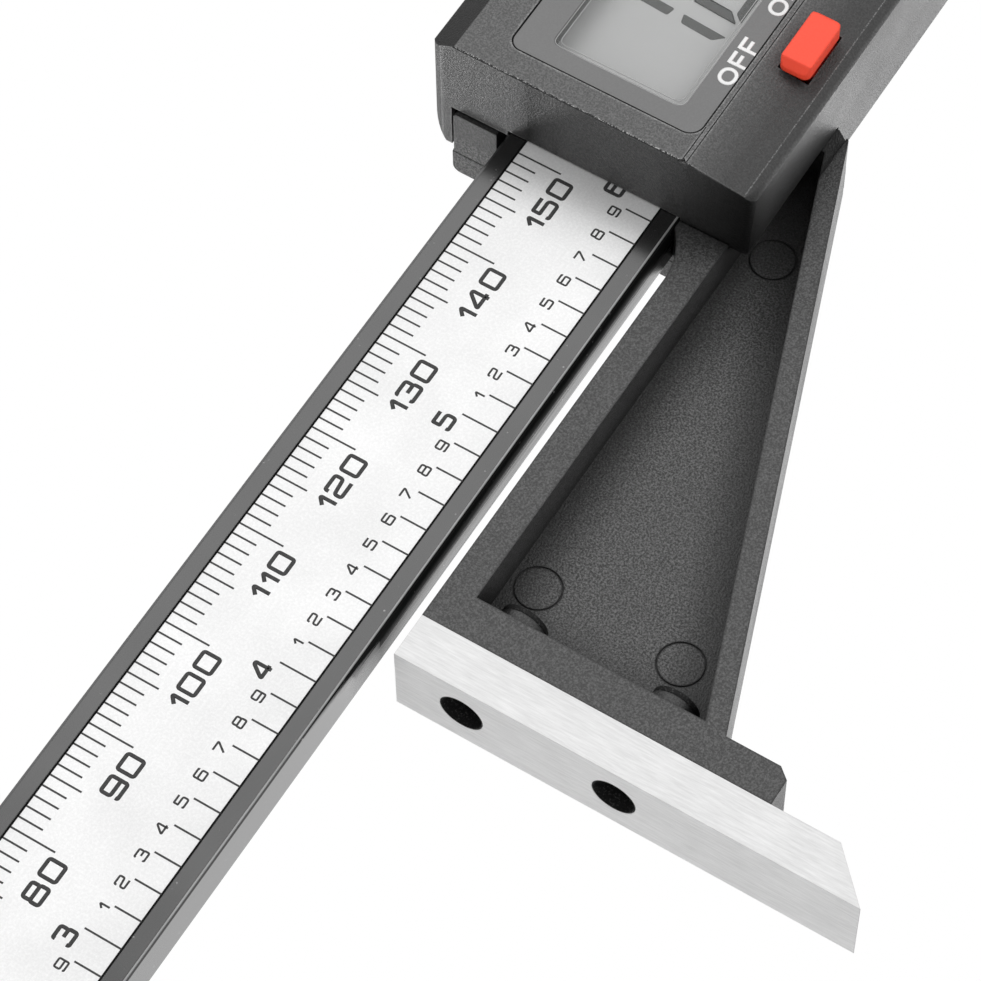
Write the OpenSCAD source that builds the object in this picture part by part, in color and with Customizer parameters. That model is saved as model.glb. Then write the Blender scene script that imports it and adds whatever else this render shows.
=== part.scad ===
// Digital height gauge, 0 to 150 mm.
// Stands on z = 0 with the beam upright along +Z, the scale facing -Y and the jaw towards +X.
// The origin is under the middle of the beam, on the face that stands on the table.

/* [Reading] */
// Height of the jaw's measuring face above the table
reading = 151.25; // [0:0.05:153]
// Height of the scale's zero line above the table
scale_zero = 44.6; // [40:0.1:50]

/* [Beam] */
// Width of the beam
beam_w = 15.8; // [14:0.1:17]
// Thickness of the beam behind the label's face
beam_t = 4.4; // [3.5:0.1:5]
// Height of the beam's top end above the table
beam_top = 266; // [262:0.5:280]
// Width of the printed scale label
label_w = 12.37; // [10:0.01:13]
// Thickness of the scale label
label_t = 0.25; // [0.1:0.05:0.4]

/* [Head] */
// Length of the head along the beam
head_l = 63; // [60:0.5:70]
// Left side of the head, away from the leg
head_left = -15.4; // [-16.5:0.1:-15]
// Right side of the head, towards the leg
head_right = 14.3; // [14:0.1:15.5]
// Front face of the head
head_front = -7.85; // [-8.5:0.05:-7.5]
// Plane where the front cover's end walls stop
split_y = 0.4; // [0.3:0.05:0.5]
// Plane where the slider stops and the rear cover begins
back_y = 5.85; // [5.8:0.05:6.2]
// Rear face of the rear cover
head_back = 8.5; // [8.4:0.1:10]
// Wall of the front cover
cover_wall = 1.5; // [1.2:0.1:1.7]

/* [Display] */
// Left and right edges of the display window
window_x = [-6.65, 5.4];
// Lower and upper edges of the window above the head's lower edge
window_h = [4.35, 44.3];
// Left and right edges of the display label
panel_x = [-9.43, 7.6];
// Lower and upper edges of the display label
panel_h = [2.55, 46.7];

/* [Controls] */
// Travel of the power knob
knob_travel = 2; // [1.5:0.1:2]
// Travel of the push buttons
button_travel = 0.5; // [0.3:0.05:0.5]
// Height of the lower push button's middle above the head's lower edge
button_1_h = 30.5; // [30:0.1:31]
// Height of the upper push button's middle
button_2_h = 41.5; // [40:0.1:42]
// Height of the lock screw's axis above the head's lower edge
lock_h = 48; // [46:0.5:50]

/* [Leg and jaw] */
// Left edge of the leg, at its foot and under the head
leg_x = [9.76, 9.8];
// Thickness of the leg and the measuring bar
leg_t = 7.5; // [7:0.1:8]
// Width of the leg's rims
rim_w = 2.7; // [2:0.1:3]
// Depth of the leg's front pocket
pocket_d = 4.1; // [3:0.1:4.5]
// Right end of the leg's foot flange
flange_end = 39.8; // [38:0.1:41]
// Sideways run of the leg's slanted edge for each mm of height
leg_slope = 0.365; // [0.355:0.001:0.38]
// Sideways width of the leg's slanted rim
rim_slant = 1.85; // [1.6:0.05:2.5]
// Sharp tip of the measuring bar
bar_tip = 49.44; // [45:0.1:50]
// Height of the measuring bar
bar_h = 3.9; // [3.5:0.1:4.5]
// Diameter of the two holes in the bar's lower face
bar_hole_d = 3.8; // [3.6:0.1:4]

/* [Base] */
// Far end of the sole plate
sole_end = -49.44; // [-60:0.1:-46]
// Front edge of the sole plate
sole_front = -12.5; // [-16:0.5:-12]
// Rear edge of the sole plate
sole_back = 16.5; // [16:0.5:20]
// Height of the socket's top above the table
socket_top = 40; // [36:0.5:42]
// Diameter of the disc magnets
magnet_d = 8; // [6:0.5:9]

/* [Hidden] */
$fn = 64;
eps = 0.01;
head_z = scale_zero + reading;
jaw_z = reading;
jaw_top = jaw_z + bar_h;
head_top = head_z + head_l;
slider_z = [head_z - 0.3, head_top - 0.3];

// Beam and its channel in the slider
beam_x = beam_w / 2;
beam_front = -0.1;
beam_z0 = 6;
channel_gap = 0.1;
gib_gap = 0.95;
label_z0 = socket_top + 0.5;
label_z1 = beam_top - 4.5;
board_t = 0.4;

// Front cover
bevel_left = [2.5, 1.25];
bevel_right = [0.85, 0.5];
draft_left = [0.23, 4.4];
side_r = 9;
draft_right = 0.25;
front_slope = 0.7;
corner_left = 1.5;
corner_right = 0.8;
skirt_end = 5.4;
skirt_gap = 0.35;
cover_gap = 0.3;
rail_x = [-12.95, 12.3];
rail_y = split_y + cover_gap;
label_d = 0.35;
label_gap = 0.15;
seam_x = [7.84, 8.22];
seam_end = [panel_h[0] + 1.2, head_l + 1];
seam_w = 0.1;
fine_edge = 0.17;
cover_screw_x = [-10.8, 10.3];
cover_screw_h = [4.5, 58.5];
post_r = 2;

// Inside the head
pcb_y = [-1.35, -0.35];
pcb_x = [-12.6, 12.2];
pcb_h = [2.2, 47.4];
board_screw_at = [[-10.8, 28], [10.3, 24.5]];
cell_x = -1.8;
cell_h = 55.2;
cell_r = 5.8;
cell_y = [-6.65, -1.3];
contact_x = 4.02;
door_x = [-11.2, 6.9];
door_h0 = 48.2;
door_t = 0.95;
tongue = 0.7;

// Display stack
lcd_x = [-7.3, 6.4];
lcd_h = [3.6, 45];
lcd_y = [-5.7, -3.9];
zebra_x = [[-6.9, -5.3], [4.4, 6]];
zebra_h = [6, 42.6];

// Switch and buttons
stem_h = [14, 17];
slot_x = [9.6, 12.4];
slot_h = [stem_h[0] - knob_travel - 0.25, stem_h[1] + 0.15];
knob_x = [9.75, 12.45];
knob_h = [11.5, 17.2];
knob_front = -9.2;
button_x = 10.95;
button_w = 3;
button_l = 6;
button_front = -8.45;

// Lock
lock_y = 2.3;
lock_r = 1.45;
shoe_x = [-9.3, -8.02];
bush_r = 1.85;
gib_h = [8, 40];

// Leg
leg_front = 0.05;
bar_y = [leg_front, leg_front + leg_t];
bar_hole_x = [15.6, 28.85];
bar_hole_y = 3.7;
leg_foot_h = 3.1;
leg_edge_z = head_z + 13.55;
ejector_at = [[14.74, -32.28], [27.32, -32.22], [14.9, 3]];
leg_toe_x = 34.22;
leg_top = head_z + 14.5;
leg_rear_top = [[15.3, 14.15], [13.6, 17.65], [13, 18.35]];
boss_h = 1.5;
back_pocket_d = 1.4;
ejector_r = 1.95;

// Base
base_front = -2.3;
beam_screw_z = [14, 28];
magnet_t = 2.5;
socket_x = [-10.4, 9.0];
sole_right = 9.2;
flange_y = [-10, 14];
flange_z = [bar_h, 6.4];
web_far = [-36.5, 7.5];
web_near = [-12, 38.5];
sole_screw_at = [[-34, -5.2], [-34, 9.2], [3.4, -5.6], [3.4, 9.6]];
magnet_at = [[-42, 2], [-19, 2], [-4.5, -5], [-4.5, 9]];

// The lower right cover screw sits on the leg, the others on the rear cover
function screw_in_leg(x, h) = x > 0 && h < leg_top - head_z;

// Helpers: a flat outline drawn as (x, z), (x, y) or (y, z) and pushed through the third axis
module along_y(y0, y1) translate([0, y1, 0]) rotate([90, 0, 0]) linear_extrude(y1 - y0) children();
module along_z(z0, z1) translate([0, 0, z0]) linear_extrude(z1 - z0) children();
module along_x(x0, x1) translate([x0, 0, 0]) rotate([90, 0, 90]) linear_extrude(x1 - x0) children();

// Box from two opposite corners
module block(low, high) translate(low) cube(high - low);

// Round bar between two places along one axis
module rod_y(x, z, r, y0, y1) translate([x, y1, z]) rotate([90, 0, 0]) cylinder(r = r, h = y1 - y0);
module rod_z(x, y, r, z0, z1) translate([x, y, z0]) cylinder(r = r, h = z1 - z0);
module rod_x(y, z, r, x0, x1) translate([x0, y, z]) rotate([0, 90, 0]) cylinder(r = r, h = x1 - x0);

// Rectangle with its own radius at each corner, counted from the lower left one anticlockwise
module round_rect(low, high, r = [1, 1, 1, 1]) {
  at = [low, [high[0], low[1]], high, [low[0], high[1]]];
  difference() {
    translate(low) square(high - low);
    for (i = [0 : 3])
      if (r[i] > 0)
        translate(at[i]) rotate(90 * i) difference() {
          translate([-eps, -eps]) square(r[i] + eps);
          translate([r[i], r[i]]) circle(r[i]);
        }
  }
}

// Beam: a bar with a shallow channel in its front for the scale, and a screw hole in its top
module beam() {
  edge = 0.25;
  hole_y = 2.4;
  color([0.05, 0.05, 0.055]) difference() {
    along_z(beam_z0, beam_top) polygon([
      [-beam_x + edge, beam_front], [beam_x - edge, beam_front], [beam_x, beam_front + edge],
      [beam_x, beam_t - edge], [beam_x - edge, beam_t], [-beam_x + edge, beam_t],
      [-beam_x, beam_t - edge], [-beam_x, beam_front + edge]
    ]);
    block([-label_w / 2 - 0.12, -1, label_z0 - 0.2],
          [label_w / 2 + 0.12, label_t + board_t, label_z1 + 0.2]);
    rod_z(0, hole_y, 0.85, beam_top - 8, beam_top + 1);
    for (z = beam_screw_z) rod_y(0, z, 0.95, 1.2, beam_t + 1);
  }
}

// Scale strip glued in the channel, with the label over it
module scale_board() {
  color([0.15, 0.3, 0.2])
    block([-label_w / 2, label_t, label_z0], [label_w / 2, label_t + board_t, label_z1]);
}

module scale_label() {
  color([0.75, 0.76, 0.77])
    along_y(0, label_t) round_rect([-label_w / 2, label_z0], [label_w / 2, label_z1], [0.4, 0.4, 0.4, 0.4]);
}

// Cap on the beam's top
module end_cap() {
  cap_z = [beam_top - 3.6, beam_top + 2];
  wall = 1.1;
  color([0.1, 0.1, 0.11]) difference() {
    intersection() {
      along_z(cap_z[0], cap_z[1]) round_rect(
        [-beam_x - wall, beam_front - wall], [beam_x + wall, beam_t + wall], [0.8, 0.8, 0.8, 0.8]);
      along_y(-9, 9) round_rect([-beam_x - wall, cap_z[0]], [beam_x + wall, cap_z[1]], [0, 0, 1.4, 1.4]);
    }
    block([-beam_x - 0.05, beam_front - 0.05, cap_z[0] - 1], [beam_x + 0.05, beam_t + 0.05, beam_top]);
    rod_z(0, 2.4, 1, beam_top - 1, cap_z[1] + 1);
    rod_z(0, 2.4, 1.95, beam_top + 0.9, cap_z[1] + 1);
  }
}

// Pan head screw along +Z, its tip down: head radius, shank radius, head height, shank length, socket
module screw(head_r, shank_r, head_h, shank_l, key_d = 0.6) {
  difference() {
    union() {
      translate([0, 0, -shank_l]) cylinder(r = shank_r, h = shank_l + 0.1);
      cylinder(r = head_r, h = head_h * 0.6);
      translate([0, 0, head_h * 0.6]) cylinder(r1 = head_r, r2 = head_r * 0.72, h = head_h * 0.4);
    }
    for (a = [0, 90])
      rotate(a) translate([-head_r * 0.55, -head_r * 0.13, head_h - key_d])
        cube([head_r * 1.1, head_r * 0.26, key_d + 1]);
  }
}

module end_cap_screw() {
  color([0.2, 0.2, 0.21])
    translate([0, 2.4, beam_top + 0.9]) screw(1.8, 0.8, 1, 6.5, 0.5);
}

// Base: the socket that the beam stands in, the web beside it and the flange on the sole
module base_web() {
  polygon([
    [web_far[0], flange_z[1] - 0.5], [socket_x[0] + 2, flange_z[1] - 0.5],
    [socket_x[0] + 2, web_near[1]], web_near, web_far
  ]);
}

module base_pocket() {
  run = web_near - web_far;
  slope = run[0] / run[1];
  edge = web_far[0] + rim_w * norm(run) / run[1];
  low = flange_z[1] + 2;
  right = socket_x[0] - rim_w;
  polygon([
    [edge + (low - web_far[1]) * slope, low], [right, low],
    [right, web_far[1] + (right - edge) / slope]
  ]);
}

module base_body() {
  rib = 2;
  rib_x = [socket_x[0] + 0.8, socket_x[1] - 0.8 - rib];
  rib_top = socket_top - 14;
  color([0.09, 0.09, 0.1]) difference() {
    union() {
      along_z(flange_z[0], flange_z[1])
        round_rect([sole_end + 5.5, flange_y[0]], [socket_x[1], flange_y[1]], [2.5, 1.5, 1.5, 2.5]);
      along_z(flange_z[0] + 1, socket_top)
        round_rect([socket_x[0], base_front], [socket_x[1] - 0.1, back_y], [0.8, 0.5, 0.5, 0.8]);
      along_y(bar_y[0], bar_y[1]) base_web();
      for (x = rib_x) along_x(x, x + rib) polygon([
        [flange_y[0] + 1, flange_z[1] - 0.5], [flange_y[1] - 1, flange_z[1] - 0.5],
        [back_y - 0.5, rib_top], [base_front + 0.5, rib_top]
      ]);
    }
    block([-beam_x - 0.05, beam_front - 0.05, beam_z0], [beam_x + 0.05, beam_t + 0.05, socket_top + 1]);
    along_y(-1, bar_y[0] + pocket_d) base_pocket();
    along_y(bar_y[1] - back_pocket_d, bar_y[1] + 1) base_pocket();
    for (p = sole_screw_at) rod_z(p[0], p[1], 1.15, flange_z[0] - 1, flange_z[1] + 1);
    for (z = beam_screw_z) rod_y(0, z, 1.05, 1, back_y + 1);
  }
}

module foot_plate() {
  color([0.8, 0.81, 0.82]) difference() {
    intersection() {
      along_y(sole_front, sole_back)
        polygon([[sole_end, 0], [sole_right, 0], [sole_right, bar_h], [sole_end + bar_h, bar_h]]);
      along_z(-1, bar_h + 1) round_rect([sole_end, sole_front], [sole_right, sole_back], [0, 1.5, 1.5, 0]);
    }
    for (p = magnet_at) rod_z(p[0], p[1], magnet_d / 2 + 0.05, -1, magnet_t + 0.2);
    for (p = sole_screw_at) {
      rod_z(p[0], p[1], 1.3, -1, bar_h + 1);
      translate([p[0], p[1], -eps]) cylinder(r1 = 2.5, r2 = 1.3, h = 1.2);
    }
  }
}

module foot_magnets() {
  color([0.6, 0.6, 0.62])
    for (p = magnet_at) rod_z(p[0], p[1], magnet_d / 2, 0.1, magnet_t + 0.2);
}

module foot_screws() {
  color([0.2, 0.2, 0.21])
    for (p = sole_screw_at) translate([p[0], p[1], 0]) difference() {
      union() {
        translate([0, 0, 0.15]) cylinder(r1 = 2.3, r2 = 1.1, h = 1.2);
        cylinder(r = 1.1, h = flange_z[1] - 0.4);
      }
      translate([0, 0, -1]) cylinder(r = 1.2, h = 1.15);
      for (a = [0, 90]) rotate(a) translate([-1.3, -0.3, 0]) cube([2.6, 0.6, 0.7]);
    }
}

module beam_screws() {
  color([0.2, 0.2, 0.21])
    for (z = beam_screw_z) translate([0, back_y, z]) rotate([-90, 0, 0]) screw(2, 0.9, 1.3, 4.2);
}

// Head outline seen along the beam: bevelled front edges, sides that curve in towards the back
module head_section(y_end) {
  intersection() {
    polygon([
      [head_left + bevel_left[0], head_front], [seam_x[1] + seam_w, head_front],
      [head_right - bevel_right[0], head_front + front_slope],
      [head_right, head_front + front_slope + bevel_right[1]],
      [head_right - draft_right, split_y], [head_right - draft_right, y_end - 0.4],
      [head_right - draft_right - 0.4, y_end],
      [head_left, y_end], [head_left, head_front + bevel_left[1] + draft_left[1]],
      [head_left + draft_left[0], head_front + bevel_left[1]]
    ]);
    union() {
      translate([head_left, head_front]) square([side_r + eps, split_y - head_front]);
      intersection() {
        translate([head_left + side_r, split_y]) circle(r = side_r, $fn = 120);
        translate([head_left, head_front]) square([side_r, 20]);
      }
      translate([head_left + side_r, head_front]) square([head_right - head_left - side_r, 20]);
    }
  }
}

module head_front_outline() {
  round_rect([head_left, head_z], [head_right, head_top],
    [corner_left, corner_right, corner_right, corner_left]);
}

// Front shell of the head
module front_cover() {
  front_in = head_front + cover_wall;
  color([0.4, 0.4, 0.41]) difference() {
    union() {
      difference() {
        intersection() {
          along_z(head_z, head_top) head_section(skirt_end);
          along_y(head_front - 1, skirt_end + 1) head_front_outline();
        }
        block([head_left + cover_wall, front_in, head_z + cover_wall],
              [head_right - cover_wall, split_y, head_top - cover_wall]);
        block([rail_x[0] - skirt_gap, split_y, head_z - 1], [rail_x[1] + 0.05, 20, head_top + 1]);
        block([-beam_x - 0.1, beam_front - 0.1, head_z - 1], [beam_x + 0.1, split_y + 1, head_top + 1]);
        block([beam_x, split_y, head_z - 1], [head_right + 1, 20, leg_top + 0.1]);
      }
      for (x = cover_screw_x, h = cover_screw_h)
        rod_y(x, head_z + h, post_r, front_in - eps, rail_y);
      for (p = board_screw_at) rod_y(p[0], head_z + p[1], 1.6, front_in - eps, pcb_y[0]);
      rod_y(cell_x, head_z + cell_h, cell_r + 1.1, front_in - eps, -0.35);
    }
    // openings and recesses in the front
    along_y(head_front - 1, head_front + label_d) round_rect(
      [panel_x[0] - label_gap, head_z + panel_h[0] - label_gap],
      [panel_x[1] + label_gap, head_z + panel_h[1] + label_gap], [1.15, 1.35, 1.35, 1.15]);
    along_y(head_front - 1, front_in + 1) round_rect(
      [window_x[0] - 0.05, head_z + window_h[0] - 0.05], [window_x[1] + 0.05, head_z + window_h[1] + 0.05],
      [0.8, 0.8, 0.8, 0.8]);
    for (i = [0 : 1])
      block([seam_x[i] - seam_w / 2, head_front - 1, head_z - 1],
            [seam_x[i] + seam_w / 2, head_front + seam_w, head_z + seam_end[i]]);
    translate([seam_x[0] + seam_w, head_front, head_z]) rotate([0, 45, 0])
      cube([0.5, 0.5, 0.5], center = true);
    translate([0, head_front, head_z]) rotate([45, 0, 0]) cube([40, fine_edge, fine_edge], center = true);
    block([slot_x[0], head_front - 1, head_z + slot_h[0]], [slot_x[1], front_in + 1, head_z + slot_h[1]]);
    for (h = [button_1_h, button_2_h]) along_y(head_front - 1, front_in + 1) round_rect(
      [button_x - button_w / 2 - 0.15, head_z + h - button_l / 2 - 0.15],
      [button_x + button_w / 2 + 0.15, head_z + h + button_l / 2 + 0.15], [1.2, 1.2, 1.2, 1.2]);
    // battery bay with the door's grooves
    block([door_x[0], head_front - 1, head_z + door_h0], [door_x[1], head_front + 1.05, head_top + 1]);
    block([door_x[0] - 0.8, head_front + 0.45, head_z + door_h0],
          [door_x[1] + 0.8, head_front + 1.05, head_top + 1]);
    rod_y(cell_x, head_z + cell_h, cell_r + 0.3, head_front, -1.05);
    block([cell_x - 1.2, -2.2, head_z + 44], [cell_x + 1.2, -1.05, head_z + cell_h]);
    block([contact_x - 0.15, -5.6, head_z + 44], [contact_x + 0.55, -1.05, head_z + cell_h + 3]);
    for (x = cover_screw_x, h = cover_screw_h) rod_y(x, head_z + h, 0.9, -4.5, rail_y + 1);
    for (p = board_screw_at) rod_y(p[0], head_z + p[1], 0.75, -4.5, 0);
    // notch for the lock screw
    rod_x(lock_y, head_z + lock_h, 1.9, head_left - 1, -12);
    block([head_left - 1, lock_y, head_z + lock_h - 1.9], [rail_x[0], 20, head_z + lock_h + 1.9]);
  }
}

// Slider: the channel that runs on the beam, and the leg in one piece with it
module leg_outline() {
  foot = jaw_top;
  edge_top = leg_toe_x - (leg_edge_z - foot - leg_foot_h) * leg_slope;
  polygon([
    [leg_x[0], foot], [flange_end, foot], [flange_end, foot + 2.3], [flange_end - 0.95, foot + leg_foot_h],
    [leg_toe_x, foot + leg_foot_h], [edge_top, leg_edge_z], [head_right - 0.06, leg_top],
    [leg_x[1], leg_top]
  ]);
}

module leg_pocket() {
  low = jaw_top + 3.4;
  high = leg_top - 2.5;
  side = leg_toe_x - rim_slant;
  polygon([
    [leg_x[0] + rim_w, low], [side - (low - jaw_top - leg_foot_h) * leg_slope, low],
    [side - (high - jaw_top - leg_foot_h) * leg_slope, high], [leg_x[0] + rim_w, high]
  ]);
}

// Tip of the leg behind the cover's skirt
module leg_tip_outline() {
  polygon(concat(
    [[rail_x[1] + 0.15, leg_edge_z - 1], [leg_rear_top[0][0], leg_edge_z - 1]],
    [for (p = leg_rear_top) [p[0], head_z + p[1]]],
    [[rail_x[1] + 0.15, head_z + leg_rear_top[2][1]]]
  ));
}

module slider_body() {
  fillet = 7.2;
  fillet_h = 5.35;
  chamfer = 0.3;
  shelf = 0.1;
  color([0.11, 0.11, 0.12]) difference() {
    union() {
      along_z(slider_z[0], slider_z[1]) polygon([
        [rail_x[0] + chamfer, rail_y],
        [-beam_x - gib_gap, rail_y], [-beam_x - gib_gap, beam_t + channel_gap],
        [beam_x + channel_gap, beam_t + channel_gap], [beam_x + channel_gap, rail_y],
        [rail_x[1], rail_y], [rail_x[1], back_y], [rail_x[0], back_y], [rail_x[0], rail_y + chamfer]
      ]);
      difference() {
        along_y(bar_y[0], bar_y[1]) leg_outline();
        along_y(-1, bar_y[0] + pocket_d) leg_pocket();
        along_y(bar_y[1] - back_pocket_d, bar_y[1] + 1) leg_pocket();
        // the leg steps back under the front cover
        block([leg_x[1] - 1, -1, head_z - shelf], [head_right + 1, rail_y, leg_top + 1]);
      }
      along_y(skirt_end + 0.1, bar_y[1]) leg_tip_outline();
      difference() {
        along_y(bar_y[0], back_y) difference() {
          translate([beam_x + channel_gap, slider_z[0] - fillet_h])
            square([leg_x[1] - beam_x, fillet_h + 1]);
          translate([leg_x[1] - fillet, slider_z[0] - fillet_h]) circle(fillet, $fn = 120);
        }
        block([beam_x, -1, head_z - shelf], [head_right, rail_y, head_top]);
      }
      intersection() {
        for (x = bar_hole_x) rod_z(x, bar_hole_y, ejector_r, jaw_top + 1, jaw_top + 3.4 + boss_h);
        along_y(bar_y[0], bar_y[1] - back_pocket_d) leg_outline();
      }
    }
    for (x = bar_hole_x) rod_z(x, bar_hole_y, 1, jaw_top - 1, jaw_top + 3.9);
    // rings left in the pocket's floor
    for (p = ejector_at) difference() {
      rod_y(p[0], head_z + p[1], ejector_r, bar_y[0] + pocket_d - eps, bar_y[0] + pocket_d + 0.12);
      rod_y(p[0], head_z + p[1], ejector_r - 0.13, bar_y[0], bar_y[1]);
    }
    for (x = cover_screw_x, h = cover_screw_h) rod_y(x, head_z + h, 1.05, -1, back_y + 2);
    // seats of the lock shoe and the threaded bush
    block([shoe_x[0] - 0.05, 0.8, head_z + lock_h - 2.6], [-beam_x, 3.8, head_z + lock_h + 2.6]);
    rod_x(lock_y, head_z + lock_h, bush_r, rail_x[0] - 1, shoe_x[0]);
  }
}

module rear_cover() {
  color([0.12, 0.12, 0.13]) difference() {
    along_z(slider_z[0], slider_z[1])
      round_rect([rail_x[0] - 0.15, back_y], [rail_x[1], head_back], [0, 0, 0.7, 0.7]);
    block([leg_x[1] - 1.6, back_y - 1, head_z - 1], [rail_x[1] + 1, head_back + 1, leg_top + 0.3]);
    translate([0, back_y, slider_z[0]]) rotate([45, 0, 0]) cube([40, fine_edge, fine_edge], center = true);
    for (x = cover_screw_x, h = cover_screw_h)
      if (!screw_in_leg(x, h)) {
        rod_y(x, head_z + h, 1.05, back_y - 1, head_back + 1);
        rod_y(x, head_z + h, 1.95, head_back - 1.3, head_back + 1);
      }
  }
}

module rear_cover_screws() {
  color([0.2, 0.2, 0.21]) for (x = cover_screw_x, h = cover_screw_h) {
    seat = screw_in_leg(x, h) ? bar_y[1] : head_back - 1.3;
    translate([x, seat, head_z + h]) rotate([-90, 0, 0]) screw(1.75, 0.85, 1.1, seat + 4.2);
  }
}

// Measuring bar under the leg
module jaw_bar() {
  color([0.85, 0.86, 0.87]) difference() {
    along_y(bar_y[0], bar_y[1])
      polygon([[leg_x[0], jaw_z], [bar_tip, jaw_z], [bar_tip - 3.81, jaw_top], [leg_x[0], jaw_top]]);
    for (x = bar_hole_x) {
      rod_z(x, bar_hole_y, bar_hole_d / 2, jaw_z - 1, jaw_z + 2.8);
      rod_z(x, bar_hole_y, 1.2, jaw_z, jaw_top + 1);
    }
  }
}

module jaw_screws() {
  color([0.15, 0.15, 0.16]) for (x = bar_hole_x)
    translate([x, bar_hole_y, jaw_z + 2.8]) rotate([180, 0, 0]) screw(1.7, 0.95, 1.2, 4.8);
}

// Display stack, front to back
module display_label() {
  color([0.5, 0.5, 0.5]) along_y(head_front + 0.05, head_front + label_d) difference() {
    round_rect([panel_x[0], head_z + panel_h[0]], [panel_x[1], head_z + panel_h[1]], [1, 1.2, 1.2, 1]);
    round_rect([window_x[0], head_z + window_h[0]], [window_x[1], head_z + window_h[1]],
      [0.8, 0.8, 0.8, 0.8]);
  }
}

module lcd_window() {
  front_in = head_front + cover_wall;
  color([0.8, 0.82, 0.82, 0.5]) union() {
    along_y(head_front + 0.2, front_in + 0.1)
      round_rect([window_x[0] + 0.05, head_z + window_h[0] + 0.05],
        [window_x[1] - 0.05, head_z + window_h[1] - 0.05], [0.75, 0.75, 0.75, 0.75]);
    block([window_x[0] - 1.1, front_in, head_z + window_h[0] - 1.1],
          [window_x[1] + 1.1, front_in + 0.6, head_z + window_h[1] + 1.1]);
  }
}

module lcd_panel() {
  color([0.6, 0.64, 0.6])
    block([lcd_x[0], lcd_y[0], head_z + lcd_h[0]], [lcd_x[1], lcd_y[1], head_z + lcd_h[1]]);
}

module lcd_holder() {
  color([0.8, 0.8, 0.78]) difference() {
    block([lcd_x[0] - 1, lcd_y[0], head_z + lcd_h[0] - 1], [lcd_x[1] + 1, pcb_y[0], head_z + lcd_h[1] + 1]);
    block([lcd_x[0] - 0.1, lcd_y[0] - 1, head_z + lcd_h[0] - 0.1],
          [lcd_x[1] + 0.1, lcd_y[1], head_z + lcd_h[1] + 0.1]);
    block([zebra_x[0][1] + 0.7, lcd_y[1] - 1, head_z + lcd_h[0] + 3],
          [zebra_x[1][0] - 0.7, 0, head_z + lcd_h[1] - 3]);
    for (x = zebra_x)
      block([x[0] - 0.05, lcd_y[1] - 1, head_z + zebra_h[0] - 0.05],
            [x[1] + 0.05, 0, head_z + zebra_h[1] + 0.05]);
  }
}

module zebra_strips() {
  color([0.25, 0.25, 0.27]) for (x = zebra_x)
    block([x[0], lcd_y[1], head_z + zebra_h[0]], [x[1], pcb_y[0], head_z + zebra_h[1]]);
}

module circuit_board() {
  color([0.1, 0.35, 0.18]) difference() {
    union() {
      along_y(pcb_y[0], pcb_y[1])
        round_rect([pcb_x[0], head_z + pcb_h[0]], [pcb_x[1], head_z + pcb_h[1]], [0.5, 0.5, 0.5, 0.5]);
      translate([-0.5, pcb_y[0] + 0.1, head_z + 24]) rotate([90, 0, 0]) cylinder(r1 = 3.4, r2 = 2.4, h = 1);
    }
    for (x = cover_screw_x) rod_y(x, head_z + cover_screw_h[0], post_r + 0.2, -3, 1);
    for (p = board_screw_at) rod_y(p[0], head_z + p[1], 0.9, -3, 1);
  }
}

module board_screws() {
  color([0.5, 0.5, 0.52]) for (p = board_screw_at)
    translate([p[0], pcb_y[1], head_z + p[1]]) rotate([-90, 0, 0]) screw(1.5, 0.7, 0.6, 4, 0.3);
}

module switch_block() {
  color([0.6, 0.6, 0.62]) difference() {
    block([9.9, -3.1, head_z + 9.6], [12.2, pcb_y[0], head_z + 19.2]);
    block([10.5, -4, head_z + 11], [11.7, -2.4, head_z + 17.8]);
  }
}

module button_domes() {
  color([0.75, 0.72, 0.6]) for (h = [button_1_h, button_2_h])
    translate([button_x, pcb_y[0], head_z + h]) rotate([90, 0, 0]) cylinder(r1 = 1.2, r2 = 0.7, h = 0.5);
}

module battery() {
  color([0.75, 0.75, 0.76]) union() {
    rod_y(cell_x, head_z + cell_h, cell_r, cell_y[0], cell_y[1] - 0.3);
    rod_y(cell_x, head_z + cell_h, cell_r - 1.1, cell_y[1] - 0.31, cell_y[1]);
  }
}

module battery_contacts() {
  leaf = 0.2;
  tray_y = cell_y[1] + leaf;
  step_z = head_z + pcb_h[1] + leaf;
  pad_z = head_z + pcb_h[1] - 1.2;
  cell_z = head_z + cell_h;
  color([0.8, 0.75, 0.6]) union() {
    block([cell_x - 3, cell_y[1], cell_z - 4], [cell_x + 3, tray_y, cell_z + 3]);
    block([cell_x - 1, cell_y[1], step_z], [cell_x + 1, tray_y, cell_z - 3]);
    block([cell_x - 1, pcb_y[0] - leaf, step_z], [cell_x + 1, tray_y, step_z + leaf]);
    block([cell_x - 1, pcb_y[0] - leaf, pad_z], [cell_x + 1, pcb_y[0], step_z + leaf]);
  }
  color([0.8, 0.75, 0.6]) union() {
    block([contact_x, -5.4, cell_z - 3], [contact_x + leaf, -1.4, cell_z + 2.5]);
    block([contact_x, -2.6, pad_z], [contact_x + leaf, pcb_y[0], cell_z]);
  }
}

// Small parts in the slider's left rail
module gib_spring() {
  color([0.75, 0.7, 0.5]) union() {
    block([-beam_x - 0.4, 1.2, head_z + gib_h[0]], [-beam_x - 0.05, 3.6, head_z + gib_h[1]]);
    for (h = [gib_h[0] + 2, gib_h[1] - 3.5])
      block([-beam_x - gib_gap, 1.2, head_z + h], [-beam_x - 0.35, 3.6, head_z + h + 1.5]);
  }
}

module lock_insert() {
  color([0.8, 0.65, 0.3]) difference() {
    rod_x(lock_y, head_z + lock_h, bush_r - 0.02, rail_x[0] + 0.1, shoe_x[0] - 0.4);
    rod_x(lock_y, head_z + lock_h, lock_r + 0.05, rail_x[0] - 1, 0);
  }
}

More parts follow.
